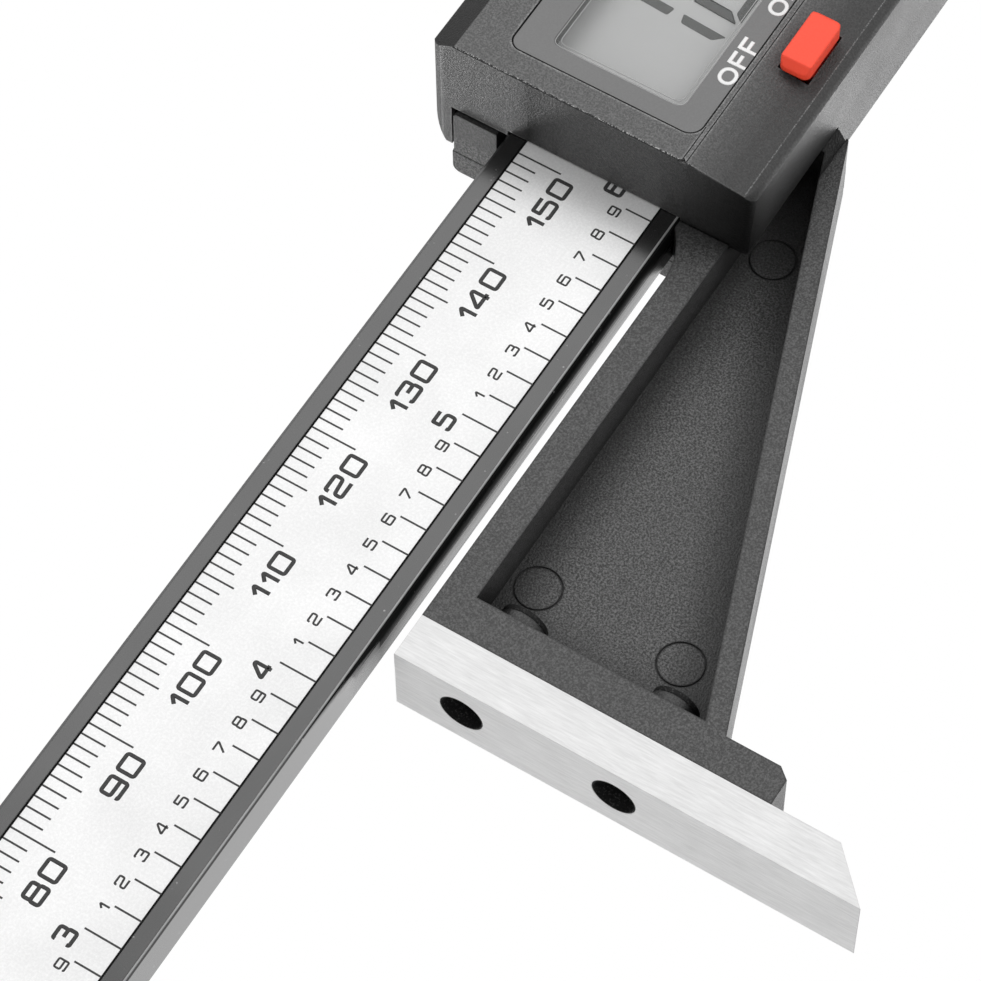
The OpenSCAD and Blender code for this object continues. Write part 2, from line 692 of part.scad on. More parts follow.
module lock_shoe() {
  color([0.8, 0.65, 0.3])
    block([shoe_x[0], 0.9, head_z + lock_h - 2.5], [shoe_x[1], 3.7, head_z + lock_h + 2.5]);
}

// Pieces that move on the head
module power_knob() {
  cap_back = head_front - 0.1;
  color([0.75, 0.1, 0.1]) union() {
    intersection() {
      along_y(knob_front, cap_back)
        round_rect([knob_x[0], head_z + knob_h[0]], [knob_x[1], head_z + knob_h[1]], [0.6, 0.6, 0.9, 0.6]);
      along_x(knob_x[0] - 1, knob_x[1] + 1) polygon([
        [cap_back, head_z + knob_h[0]], [cap_back - 0.5, head_z + knob_h[0]],
        [knob_front, head_z + knob_h[0] + 0.47], [knob_front, head_z + knob_h[1] - 0.3],
        [knob_front + 0.3, head_z + knob_h[1]], [cap_back, head_z + knob_h[1]]
      ]);
    }
    block([10.4, cap_back - eps, head_z + stem_h[0]], [12, -3.3, head_z + stem_h[1]]);
    block([9.3, -6.2, head_z + stem_h[0] - 0.6], [12.6, -5.6, head_z + stem_h[1] + 0.6]);
    block([10.8, -3.4, head_z + 15], [11.4, -2.6, head_z + 16]);
  }
}

module push_button(h) {
  cap_r = 1.05;
  union() {
    along_y(button_front, -6.2) round_rect(
      [button_x - button_w / 2, head_z + h - button_l / 2],
      [button_x + button_w / 2, head_z + h + button_l / 2],
      [cap_r, cap_r, cap_r, cap_r]);
    block([9.0, -6.25, head_z + h - 3.8], [12.7, -5.6, head_z + h + 3.8]);
    rod_y(button_x, head_z + h, 0.9, -5.7, pcb_y[0] - 0.5 - button_travel - 0.05);
  }
}

module zero_button() color([0.75, 0.76, 0.78]) push_button(button_1_h);
module unit_button() color([0.75, 0.76, 0.78]) push_button(button_2_h);

module battery_door() {
  color([0.4, 0.4, 0.41]) difference() {
    union() {
      block([door_x[0] + 0.1, head_front, head_z + door_h0 + 0.1],
            [door_x[1] - 0.1, head_front + door_t, head_top]);
      block([door_x[0] - tongue, head_front + 0.55, head_z + door_h0 + 0.1],
            [door_x[1] + tongue, head_front + door_t, head_top - 0.6]);
    }
    for (i = [0 : 3]) block([cell_x - 3.5, head_front - 1, head_top - 6 + i * 1.2],
                            [cell_x + 3.5, head_front + 0.35, head_top - 5.4 + i * 1.2]);
  }
}

module lock_screw() {
  knob_r = 4.2;
  notch_n = 18;
  color([0.1, 0.1, 0.11]) difference() {
    union() {
      rod_x(lock_y, head_z + lock_h, lock_r, -17, shoe_x[0] - 0.05);
      rod_x(lock_y, head_z + lock_h, 2.6, -16.8, -15.7);
      rod_x(lock_y, head_z + lock_h, knob_r, -20.8, -16.7);
    }
    for (i = [0 : notch_n - 1])
      translate([
        0, lock_y + knob_r * cos(i * 360 / notch_n), head_z + lock_h + knob_r * sin(i * 360 / notch_n)
      ])
        rotate([0, 90, 0]) translate([0, 0, -22]) cylinder(r = 0.4, h = 6);
    rod_x(lock_y, head_z + lock_h, 2.4, -22, -20.3);
  }
}

beam();
scale_board();
scale_label();
end_cap();
end_cap_screw();
base_body();
foot_plate();
foot_magnets();
foot_screws();
beam_screws();
slider_body();
front_cover();
rear_cover();
rear_cover_screws();
jaw_bar();
jaw_screws();
display_label();
lcd_window();
lcd_panel();
lcd_holder();
zebra_strips();
circuit_board();
board_screws();
switch_block();
button_domes();
battery();
battery_contacts();
gib_spring();
lock_insert();
lock_shoe();
power_knob();
zero_button();
unit_button();
battery_door();
lock_screw();
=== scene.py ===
import bpy, bmesh
from mathutils import Vector, Matrix


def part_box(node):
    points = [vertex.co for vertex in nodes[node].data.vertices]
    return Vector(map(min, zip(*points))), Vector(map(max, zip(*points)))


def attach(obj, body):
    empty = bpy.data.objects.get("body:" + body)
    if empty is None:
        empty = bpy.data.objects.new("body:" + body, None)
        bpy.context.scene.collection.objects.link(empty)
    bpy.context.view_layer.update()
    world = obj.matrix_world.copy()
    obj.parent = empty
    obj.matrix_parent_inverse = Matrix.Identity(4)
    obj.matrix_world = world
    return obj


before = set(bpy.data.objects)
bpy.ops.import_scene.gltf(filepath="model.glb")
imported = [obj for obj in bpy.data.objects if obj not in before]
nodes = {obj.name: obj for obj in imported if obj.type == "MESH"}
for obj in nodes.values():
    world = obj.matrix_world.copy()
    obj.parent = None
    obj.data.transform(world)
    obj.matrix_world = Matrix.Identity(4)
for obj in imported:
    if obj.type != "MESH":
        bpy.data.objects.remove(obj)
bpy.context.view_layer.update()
mm = 0.001
print("frame loaded:", len(nodes), "CAD nodes")


# small helpers
def deselectAll():
    for obj in bpy.context.selected_objects:
        obj.select_set(False)


def activate(obj):
    deselectAll()
    obj.select_set(True)
    bpy.context.view_layer.objects.active = obj


def applyPlace(obj):  # puts the object's place into its mesh
    activate(obj)
    bpy.ops.object.transform_apply(location=True, rotation=True, scale=True)


def applyModifiers(obj):
    activate(obj)
    for modifier in list(obj.modifiers):
        bpy.ops.object.modifier_apply(modifier=modifier.name)


def joinPieces(pieces, name):
    activate(pieces[0])
    for piece in pieces:
        piece.select_set(True)
    if len(pieces) > 1:
        bpy.ops.object.join()
    joined = bpy.context.view_layer.objects.active
    joined.name = name
    joined.data.name = name
    return joined


def addBox(low, high, name):  # box from two corners in millimetres
    size = [(b - a) * mm for a, b in zip(low, high)]
    middle = [(a + b) / 2 * mm for a, b in zip(low, high)]
    deselectAll()
    bpy.ops.mesh.primitive_cube_add(size=1, location=middle)
    box = bpy.context.active_object
    box.scale = size
    box.name = name
    applyPlace(box)
    return box


def roundEdges(obj, width, segments=2, **limits):
    bevel = obj.modifiers.new("rounded", "BEVEL")
    bevel.width = width * mm
    bevel.segments = segments
    for key, value in limits.items():
        setattr(bevel, key, value)
    applyModifiers(obj)


# shader groups
def newGroup(name, inputs, outputs):
    # the kind of each input follows from its value: a number, a vector or a colour
    group = bpy.data.node_groups.new(name, "ShaderNodeTree")
    for label, value in inputs.items():
        kind = {3: "Vector", 4: "Color"}[len(value)] if isinstance(value, tuple) else "Float"
        socket = group.interface.new_socket(label, in_out="INPUT", socket_type="NodeSocket" + kind)
        socket.default_value = value
    for label, kind in outputs.items():
        group.interface.new_socket(label, in_out="OUTPUT", socket_type="NodeSocket" + kind)
    return group, group.nodes.new("NodeGroupInput").outputs, group.nodes.new("NodeGroupOutput").inputs


def addNode(tree, kind, **values):
    node = tree.nodes.new(kind)
    for key, value in values.items():
        setattr(node, key, value)
    return node


def feed(tree, value, socket):
    # a socket takes another node's output or a plain value
    if isinstance(value, bpy.types.NodeSocket):
        tree.links.new(value, socket)
    else:
        socket.default_value = value


def addMath(tree, operation, *values, clamp=False):
    step = addNode(tree, "ShaderNodeMath", operation=operation, use_clamp=clamp)
    for value, socket in zip(values, step.inputs):
        feed(tree, value, socket)
    return step.outputs[0]


def addRange(tree, value, low, high, toLow=0.0, toHigh=1.0):
    # what runs from low to high comes out as toLow to toHigh, and no further
    step = addNode(tree, "ShaderNodeMapRange")
    for given, socket in zip((value, low, high, toLow, toHigh), step.inputs):
        feed(tree, given, socket)
    return step.outputs[0]


def addMix(tree, kind, factor, first, second):
    mix = addNode(tree, "ShaderNodeMix", data_type=kind)
    firstIndex, secondIndex, result = {"FLOAT": (2, 3, 0), "VECTOR": (4, 5, 1), "RGBA": (6, 7, 2)}[kind]
    for index, value in ((0, factor), (firstIndex, first), (secondIndex, second)):
        feed(tree, value, mix.inputs[index])
    return mix.outputs[result]


def addScaled(tree, vector, factor):
    step = addNode(tree, "ShaderNodeVectorMath", operation="SCALE")
    feed(tree, vector, step.inputs[0])
    feed(tree, factor, step.inputs["Scale"])
    return step.outputs[0]


def addNoise(tree, place, size, detail=2.0, roughness=0.5):
    noise = addNode(tree, "ShaderNodeTexNoise")
    for label, value in (("Vector", place), ("Scale", size), ("Detail", detail), ("Roughness", roughness)):
        feed(tree, value, noise.inputs[label])
    return noise.outputs["Fac"]


def addPlace(tree):
    return addNode(tree, "ShaderNodeTexCoord").outputs["Object"]


def addStretched(tree, place, stretch):
    step = addNode(tree, "ShaderNodeVectorMath", operation="MULTIPLY")
    feed(tree, place, step.inputs[0])
    feed(tree, stretch, step.inputs[1])
    return step.outputs[0]


def splitPlace(tree, place):
    parts = addNode(tree, "ShaderNodeSeparateXYZ")
    tree.links.new(place, parts.inputs[0])
    return parts.outputs["X"], parts.outputs["Y"], parts.outputs["Z"]


def addRelief(tree, height, distance, strength, radius):
    # small bumps over slightly rounded edges
    edge = addNode(tree, "ShaderNodeBevel", samples=4)
    feed(tree, radius, edge.inputs["Radius"])
    bump = addNode(tree, "ShaderNodeBump")
    for label, value in (("Distance", distance), ("Strength", strength), ("Height", height),
                         ("Normal", edge.outputs["Normal"])):
        feed(tree, value, bump.inputs[label])
    return bump.outputs["Normal"]


def addCloseness(tree, reach, low, high, tone, **kind):
    # a painted tone of shade and light: the given tone where other surfaces are near, 1 where there are none
    near = addNode(tree, "ShaderNodeAmbientOcclusion", samples=6, **kind)
    feed(tree, reach, near.inputs["Distance"])
    return addRange(tree, near.outputs["AO"], low, high, toLow=tone)


def addRamp(tree, source, low, high, stops):
    # a curve of tone along one direction, from pairs of millimetres and tone
    ramp = addNode(tree, "ShaderNodeValToRGB")
    tree.links.new(addRange(tree, source, low * mm, high * mm), ramp.inputs["Fac"])
    elements = ramp.color_ramp.elements
    while len(elements) < len(stops):
        elements.new(1.0)
    for element, (place, tone) in zip(elements, stops):
        element.position = (place - low) / (high - low)
        element.color = grey(tone)
    return ramp.outputs["Color"]


def grey(value):
    return (value, value, value, 1)


surfaceOutputs = {"Colour": "Color", "Roughness": "Float", "Normal": "Vector"}
grain = {
    "slowSize": 110, "slowRange": (0.3, 0.7), "slowTone": (0.93, 1.07), "slowRoughness": 0.22,
    "pitDepth": 0.00006,
    # how open a place is where the painted light and shade of edges and the painted shade of corners begin and end
    "edgeLimits": (0.55, 0.92), "cornerLimits": (0.45, 0.95),
}


def makeMouldedGrain():
    # spark-eroded mould surface: fine pits, some of them catching light, and slow drifts of tone; with painted shade
    # in corners and painted light and shade along edges
    group, given, result = newGroup("moulded grain", {
        "Colour": grey(0.05), "Fleck Colour": grey(0.3), "Fleck Amount": 0.15, "Grain Size": 2600.0,
        "Depth": 0.3, "Roughness": 0.5, "Fleck From": 0.42, "Fleck To": 0.8, "Painted Corner Shade": 1.0,
        "Corner Reach": 0.0006, "Painted Edge Light And Shade": 1.0, "Edge Reach": 0.0002, "Edge Radius": 0.0002}, surfaceOutputs)
    place = addPlace(group)
    fine = addNoise(group, place, given["Grain Size"], roughness=0.7)
    slow = addNoise(group, place, grain["slowSize"], detail=3)
    fleck = addRange(group, fine, given["Fleck From"], given["Fleck To"])
    amount = addMath(group, "MULTIPLY", fleck, given["Fleck Amount"])
    flecked = addMix(group, "RGBA", amount, given["Colour"], given["Fleck Colour"])
    shaded = addScaled(group, flecked, addRange(group, slow, *grain["slowRange"], *grain["slowTone"]))
    edges = addCloseness(group, given["Edge Reach"], *grain["edgeLimits"], given["Painted Edge Light And Shade"],
                         inside=True, only_local=True)
    corners = addCloseness(group, given["Corner Reach"], *grain["cornerLimits"], given["Painted Corner Shade"])
    # the painted edge light and shade and the painted corner shade are multiplied into the colour
    lined = addScaled(group, shaded, addMath(group, "MULTIPLY", edges, corners))
    group.links.new(lined, result["Colour"])
    least = addMath(group, "SUBTRACT", given["Roughness"], grain["slowRoughness"] / 2)
    group.links.new(addMath(group, "MULTIPLY_ADD", slow, grain["slowRoughness"], least), result["Roughness"])
    relief = addRelief(group, fine, grain["pitDepth"], given["Depth"], given["Edge Radius"])
    group.links.new(relief, result["Normal"])
    return group


brushing = {
    "blotchSize": 260, "blotch": 0.3, "middle": 0.65, "roughness": 0.25, "scratchDepth": 0.00002,
    "edgeRadius": 0.00008,
}


def makeBrushedLines():
    # long fine scratches along one direction, with a faint blotchy tone
    group, given, result = newGroup("brushed lines", {
        "Colour": grey(0.8), "Stretch": (300.0, 6000.0, 6000.0), "Contrast": 0.12, "Roughness": 0.35,
        "Depth": 0.15}, surfaceOutputs)
    place = addPlace(group)
    lines = addNoise(group, addStretched(group, place, given["Stretch"]), 1, detail=4, roughness=0.65)
    both = addMath(group, "MULTIPLY_ADD", addNoise(group, place, brushing["blotchSize"]), brushing["blotch"], lines)
    centred = addMath(group, "SUBTRACT", both, brushing["middle"])
    shaded = addScaled(group, given["Colour"], addMath(group, "MULTIPLY_ADD", centred, given["Contrast"], 1))
    group.links.new(shaded, result["Colour"])
    rough = addMath(group, "MULTIPLY_ADD", centred, brushing["roughness"], given["Roughness"])
    group.links.new(rough, result["Roughness"])
    relief = addRelief(group, lines, brushing["scratchDepth"], given["Depth"], brushing["edgeRadius"])
    group.links.new(relief, result["Normal"])
    return group


dusting = {
    "point": (0.16, 0.05), "patchSize": 420, "patch": (0.52, 0.72), "dustColour": 0.7,
    "smearSize": 90, "smear": 0.14,
}


def makeDustAndSmears():
    # smooth surfaces: small bright dust points and faint wipe marks in the roughness
    group, given, result = newGroup("dust and smears", {
        "Colour": grey(0.02), "Dust": 0.2, "Dust Size": 1400.0, "Roughness": 0.15, "Edge Radius": 0.0002},
        surfaceOutputs)
    place = addPlace(group)
    cells = addNode(group, "ShaderNodeTexVoronoi")
    feed(group, place, cells.inputs["Vector"])
    feed(group, given["Dust Size"], cells.inputs["Scale"])
    point = addRange(group, cells.outputs["Distance"], *dusting["point"])
    patch = addRange(group, addNoise(group, place, dusting["patchSize"]), *dusting["patch"])
    amount = addMath(group, "MULTIPLY", addMath(group, "MULTIPLY", point, patch), given["Dust"])
    dusty = addMix(group, "RGBA", amount, given["Colour"], grey(dusting["dustColour"]))
    group.links.new(dusty, result["Colour"])
    smear = addNoise(group, place, dusting["smearSize"], detail=4)
    least = addMath(group, "SUBTRACT", given["Roughness"], dusting["smear"] / 2)
    group.links.new(addMath(group, "MULTIPLY_ADD", smear, dusting["smear"], least), result["Roughness"])
    edge = addNode(group, "ShaderNodeBevel", samples=4)
    group.links.new(given["Edge Radius"], edge.inputs["Radius"])
    group.links.new(edge.outputs["Normal"], result["Normal"])
    return group


coverPaintedShading = {
    # a ramp's tones run up to 1, so they are divided and multiplied again by the brightest
    "low": -16, "high": 16, "brightest": 3, "under": 195.9,
    # beyond this place across, the underside's painted shade reaches so many times further up the side
    "cornerFrom": 13.5, "cornerReach": 5, "cornerLeast": 0.02,
    # place across the cover and painted light and shade: on its front, then on its underside, where it holds a
    # painted shadow
    "front": [(-15.22, 1.0), (-15.18, 0.06), (-12.93, 0.06), (-12.9, 1.45), (5.0, 1.45), (8.2, 1.3),
              (9.6, 0.8), (11.5, 0.42), (14.0, 0.4), (14.2, 0.9), (14.3, 0.9)],
    "underside": [(-15.4, 1.05), (-8.0, 1.05), (-7.0, 0.8), (-6.0, 0.25), (-4.5, 0.5), (-2.0, 0.85),
                  (5.0, 0.85), (8.5, 0.4), (13.0, 0.1), (14.3, 0.05)],
    # a painted highlight: the thin light line along the right bevel
    "line": 13.43, "lineHalf": 0.05, "lineHighlightTone": 0.17, "lineGaps": (0.38, 0.62),
    # painted glints on the bevel between front and underside: depth and height of its points add up to less
    "edge": 188.127, "glintsFrom": 195.9, "glintSize": 9000, "glints": (0.47, 0.64), "glintTones": (0.004, 0.5),
    # the gloss rises with the painted tone until this tone
    "sheenUpTo": 0.5, "sheen": (0.2, 0.5),
}


def makeToneAcross():
    # painted light and shade over the moulded cover, a painted shadow on its underside, a painted highlight line on
    # its right bevel and painted glints along its lower front edge
    group, given, result = newGroup("painted shading across", {"Colour": grey(0.05)}, {"Colour": "Color", "Sheen": "Float"})
    place = addPlace(group)
    across, depth, height = splitPlace(group, place)
    front, under = [addRamp(group, across, coverPaintedShading["low"], coverPaintedShading["high"],
                            [(x, tone / coverPaintedShading["brightest"]) for x, tone in coverPaintedShading[side]])
                    for side in ("front", "underside")]
    beyond = addMath(group, "SUBTRACT", across, coverPaintedShading["cornerFrom"] * mm)
    reach = addMath(group, "MULTIPLY", addMath(group, "MAXIMUM", beyond, 0.0), coverPaintedShading["cornerReach"])
    above = addMath(group, "SUBTRACT", height, coverPaintedShading["under"] * mm)
    isFront = addMath(group, "DIVIDE", above, addMath(group, "ADD", reach, coverPaintedShading["cornerLeast"] * mm), clamp=True)
    tone = addMath(group, "MULTIPLY", addMix(group, "RGBA", isFront, under, front), coverPaintedShading["brightest"])
    shaded = addScaled(group, given["Colour"], tone)
    glints = addNoise(group, place, coverPaintedShading["glintSize"], detail=1)
    off = addMath(group, "ABSOLUTE", addMath(group, "SUBTRACT", across, coverPaintedShading["line"] * mm))
    near = addMath(group, "LESS_THAN", off, coverPaintedShading["lineHalf"] * mm)
    broken = addMath(group, "MULTIPLY", near, addRange(group, glints, *coverPaintedShading["lineGaps"]))
    lined = addMix(group, "RGBA", addMath(group, "MULTIPLY", broken, isFront), shaded, grey(coverPaintedShading["lineHighlightTone"]))
    upperHalf = addMath(group, "GREATER_THAN", height, coverPaintedShading["glintsFrom"] * mm)
    bright = addMath(group, "MULTIPLY", addRange(group, glints, *coverPaintedShading["glints"]), upperHalf)
    glinted = addMix(group, "RGBA", bright, *[grey(value) for value in coverPaintedShading["glintTones"]])
    onEdge = addMath(group, "LESS_THAN", addMath(group, "ADD", depth, height), coverPaintedShading["edge"] * mm)
    group.links.new(addMix(group, "RGBA", onEdge, lined, glinted), result["Colour"])
    group.links.new(addRange(group, tone, 0.0, coverPaintedShading["sheenUpTo"], *coverPaintedShading["sheen"]), result["Sheen"])
    return group


beamPaintedReflection = {
    "side": 7.75, "low": 0, "high": 4, "streak": 1.0, "stretch": (9000.0, 9000.0, 50.0),
    # depth from the front and gloss of the painted reflection, on the side's upper length
    "gloss": [(0.0, 0.0), (1.0, 0.0), (1.8, 0.003), (2.1, 0.012), (2.5, 0.07), (3.2, 0.1), (4.0, 0.12)],
    "streaks": (0.35, 0.65), "streakLeast": 0.45,
    # heights between which the even gloss below gives way, and how they lean with the depth
    "from": 140.5, "to": 145, "lean": 6.0, "leanTo": 1.2, "evenGloss": 0.5, "evenCoat": 0.9,
}


def makeSideSheen():
    # a painted reflection on the beam's side: its gloss and coat change by place in long streaks, with nearly no
    # gloss in a band standing for dark things reflected there, and an even gloss lower down
    group, given, result = newGroup("painted side reflection", {"Front Gloss": 0.5}, {"Gloss": "Float", "Coat": "Float"})
    place = addPlace(group)
    across, depth, height = splitPlace(group, place)
    streaks = addNoise(group, addStretched(group, place, beamPaintedReflection["stretch"]), 1, detail=3)
    back = addMath(group, "SUBTRACT", depth, beamPaintedReflection["streak"] * mm)
    drift = addMath(group, "MULTIPLY_ADD", streaks, beamPaintedReflection["streak"] * 2 * mm, back)
    gloss = addRamp(group, drift, beamPaintedReflection["low"], beamPaintedReflection["high"], beamPaintedReflection["gloss"])
    drawn = addMath(group, "ADD", addRange(group, streaks, *beamPaintedReflection["streaks"]), beamPaintedReflection["streakLeast"])
    leaning = addMath(group, "MULTIPLY_ADD", addMath(group, "MINIMUM", drift, beamPaintedReflection["leanTo"] * mm),
                      -beamPaintedReflection["lean"], height)
    upper = addRange(group, leaning, beamPaintedReflection["from"] * mm, beamPaintedReflection["to"] * mm)
    side = addMath(group, "GREATER_THAN", across, beamPaintedReflection["side"] * mm)
    along = addMix(group, "FLOAT", upper, beamPaintedReflection["evenGloss"], addMath(group, "MULTIPLY", gloss, drawn))
    group.links.new(addMix(group, "FLOAT", side, given["Front Gloss"], along), result["Gloss"])
    lowerSide = addMath(group, "MULTIPLY", addMath(group, "SUBTRACT", 1, upper), side)
    group.links.new(addMath(group, "MULTIPLY", lowerSide, beamPaintedReflection["evenCoat"]), result["Coat"])
    return group


mouldedGrain = makeMouldedGrain()
brushedLines = makeBrushedLines()
dustAndSmears = makeDustAndSmears()
paintedShadingAcross = makeToneAcross()
paintedSideReflection = makeSideSheen()


def addEffect(tree, group, values):
    effect = addNode(tree, "ShaderNodeGroup")
    effect.node_tree = group
    for key, value in values.items():
        effect.inputs[key].default_value = value
    return effect


def newMaterial(name):
    material = bpy.data.materials.new(name)
    material.use_nodes = True
    return material, material.node_tree, material.node_tree.nodes["Principled BSDF"].inputs


def makeMaterial(name, group, values, metallic=0.0, specular=0.5, deeper=None):
    # deeper: two depths from the front, between which the values change to others
    material, tree, shader = newMaterial(name)
    effect = addEffect(tree, group, values).outputs
    results = {label: effect[label] for label in surfaceOutputs}
    if deeper:
        depths, changed = deeper
        far = addEffect(tree, group, {**values, **changed}).outputs
        mask = addRange(tree, splitPlace(tree, addPlace(tree))[1], *depths)
        for label, kind in (("Colour", "RGBA"), ("Roughness", "FLOAT"), ("Normal", "VECTOR")):
            results[label] = addMix(tree, kind, mask, effect[label], far[label])
    for label, target in (("Colour", "Base Color"), ("Roughness", "Roughness"), ("Normal", "Normal")):
        tree.links.new(results[label], shader[target])
    shader["Metallic"].default_value = metallic
    shader["Specular IOR Level"].default_value = specular
    return material


def colourOf(value):
    return grey(value) if isinstance(value, float) else (*value, 1)


def moulded(name, colour, fleck, amount, size, depth, roughness, edge, specular=0.5, more=None, deeper=None):
    values = {"Colour": colourOf(colour), "Fleck Colour": colourOf(fleck), "Fleck Amount": amount,
              "Grain Size": size, "Depth": depth, "Roughness": roughness, "Edge Radius": edge}
    return makeMaterial(name, mouldedGrain, {**values, **(more or {})}, specular=specular, deeper=deeper)


def brushed(name, colour, stretch, contrast, roughness, depth, **kind):
    values = {"Colour": colourOf(colour), "Stretch": stretch, "Contrast": contrast, "Roughness": roughness,
              "Depth": depth}
    return makeMaterial(name, brushedLines, values, **kind)


def smooth(name, colour, dust, roughness, edge, **kind):
    values = {"Colour": colourOf(colour), "Dust": dust, "Roughness": roughness, "Edge Radius": edge}
    return makeMaterial(name, dustAndSmears, values, **kind)


finish = {
    "legBlack": moulded(
        "leg black", colour=0.021, fleck=0.18, amount=0.6, size=6000, depth=1.0, roughness=0.5, edge=0.00014,
        # painted shade in the corners and painted dark lines along the edges
        more={"Fleck From": 0.4, "Fleck To": 0.75, "Painted Corner Shade": 0.15, "Corner Reach": 0.0025,
              "Painted Edge Light And Shade": 0.2, "Edge Reach": 0.00022},
        # deeper, on the pocket's floor: a darker, more flecked finish and stronger, wider painted shade in the
        # corners
        deeper=((0.0036, 0.0041), {
            "Colour": grey(0.012), "Fleck Colour": grey(0.22), "Fleck Amount": 0.8, "Fleck To": 0.7,
            "Depth": 1.8, "Painted Corner Shade": 0.05, "Corner Reach": 0.0045})),
    "coverGrey": moulded(
        "cover grey", colour=0.036, fleck=0.2, amount=0.45, size=6400, depth=1.4, roughness=0.44, edge=0.0001,
        # painted shade in the corners and a painted highlight along the edges
        more={"Fleck From": 0.4, "Fleck To": 0.75, "Painted Corner Shade": 0.4, "Corner Reach": 0.0008,
              "Painted Edge Light And Shade": 3.0, "Edge Reach": 0.00022}),
    "doorGrey": moulded(
        "door grey", colour=0.034, fleck=0.26, amount=0.6, size=6400, depth=1.4, roughness=0.44, edge=0.0001,
        # painted shade in the corners
        more={"Fleck From": 0.4, "Fleck To": 0.75, "Painted Corner Shade": 0.4, "Corner Reach": 0.0008}),
    "baseBlack": moulded("base black", colour=0.025, fleck=0.15, amount=0.3, size=6500, depth=0.7,
                         roughness=0.55, edge=0.00025, specular=0.4),
    "panelGrey": moulded("panel grey", colour=0.15, fleck=0.3, amount=0.15, size=8000, depth=0.1,
                         roughness=0.5, edge=0.00005, specular=0.4),
    # dark finish of the bore liners, standing for the shade in the bores; the bosses over them take it too
    "boreBlack": moulded("bore black", colour=0.008, fleck=0.25, amount=0.3, size=6000, depth=1.0,
                         roughness=0.7, edge=0.00005, specular=0.2, more={"Fleck From": 0.55, "Fleck To": 0.75}),
    # dark finish for strips standing for the shade in narrow gaps
    "gapShadeBlack": moulded("gap shade black", colour=0.006, fleck=0.03, amount=0.2, size=6000, depth=0.2,
                        roughness=0.8, edge=0.00002, specular=0.05),
    "labelSilver": moulded("label silver", colour=0.86, fleck=1.0, amount=0.9, size=4500, depth=0.12,
                           roughness=0.5, edge=0.00003, specular=0.3,
                           # painted shade on the label where the head and its channel's walls come near
                           more={"Painted Corner Shade": 0.6, "Corner Reach": 0.006}),
    "printBlack": moulded("print black", colour=0.038, fleck=0.15, amount=0.3, size=5000, depth=0.05,
                          roughness=0.55, edge=0.00001, specular=0.2),
    "printWhite": moulded("print white", colour=0.82, fleck=0.92, amount=0.3, size=9000, depth=0.05,
                          roughness=0.5, edge=0.00001, specular=0.3),
    "beadHighlightGrey": moulded("bead painted highlight", colour=0.45, fleck=0.6, amount=0.2, size=8000, depth=0.05,
                        roughness=0.35, edge=0.00001),
    "printGrey": moulded("display segment", colour=0.03, fleck=0.08, amount=0.3, size=5200, depth=0.02,
                         roughness=0.5, edge=0.00001, specular=0.05),
    "knobRed": moulded("knob red", colour=(0.97, 0.075, 0.035), fleck=(1.0, 0.15, 0.08), amount=0.2,
                       size=5000, depth=0.1, roughness=0.45, edge=0.0003, specular=0.3),
    "buttonSilver": moulded("button silver", colour=0.42, fleck=0.6, amount=0.2, size=6500, depth=0.12,
                            roughness=0.35, edge=0.00025),
    "boardGreen": moulded("board green", colour=(0.02, 0.12, 0.05), fleck=(0.1, 0.25, 0.1), amount=0.2,
                          size=1500, depth=0.1, roughness=0.35, edge=0.00005),
    "ivory": moulded("ivory plastic", colour=(0.6, 0.58, 0.52), fleck=0.8, amount=0.1, size=2500, depth=0.2,
                     roughness=0.5, edge=0.0001),
    "rubber": moulded("zebra rubber", colour=0.02, fleck=0.2, amount=0.2, size=2500, depth=0.3,
                      roughness=0.7, edge=0.0001),
    "barAluminium": brushed("bar aluminium", colour=0.72, stretch=(500.0, 6000.0, 6000.0), contrast=0.55,
                            roughness=0.5, depth=0.4, metallic=0.1, specular=0.35),
    # pale strip standing for the highlight on the beam's front right edge
    "arrisHighlightGrey": brushed("painted arris highlight", colour=0.28, stretch=(3000.0, 3000.0, 400.0), contrast=1.0,
                        roughness=0.45, depth=0.2, metallic=0.2),
    "brass": brushed("turned brass", colour=(0.75, 0.52, 0.2), stretch=(5000.0, 800.0, 800.0), contrast=0.2,
                     roughness=0.3, depth=0.2, metallic=1.0),
    "beamBlack": smooth("beam black", colour=0.012, dust=0.5, roughness=0.18, edge=0.0001),
    "screwBlack": smooth("screw black", colour=0.03, dust=0.1, roughness=0.35, edge=0.0001, metallic=1.0),
    "nickel": smooth("nickel", colour=0.6, dust=0.05, roughness=0.25, edge=0.0001, metallic=1.0),
    "lcdGrey": smooth("display grey", colour=0.42, dust=0.02, roughness=0.5, edge=0.00005, specular=0.2),
}
clear = {"colour": (0.86, 0.88, 0.87, 1), "alpha": 0.07, "specular": 0.12, "size": 300, "roughness": (0.05, 0.2)}


def makeClear():
    material, tree, shader = newMaterial("clear window")
    shader["Base Color"].default_value = clear["colour"]
    shader["Alpha"].default_value = clear["alpha"]
    shader["Specular IOR Level"].default_value = clear["specular"]
    noise = addNoise(tree, addPlace(tree), clear["size"])
    tree.links.new(addRange(tree, noise, 0.0, 1.0, *clear["roughness"]), shader["Roughness"])
    return material


finish["clear"] = makeClear()


def addToneAcross(material):
    tree = material.node_tree
    shader = tree.nodes["Principled BSDF"].inputs
    effect = addEffect(tree, paintedShadingAcross, {})
    tree.links.new(shader["Base Color"].links[0].from_socket, effect.inputs["Colour"])
    tree.links.new(effect.outputs["Colour"], shader["Base Color"])
    tree.links.new(effect.outputs["Sheen"], shader["Specular IOR Level"])


def addSideSheen(material):
    tree = material.node_tree
    shader = tree.nodes["Principled BSDF"].inputs
    effect = addEffect(tree, paintedSideReflection, {"Front Gloss": 0.5})
    tree.links.new(effect.outputs["Gloss"], shader["Specular IOR Level"])
    tree.links.new(effect.outputs["Coat"], shader["Coat Weight"])


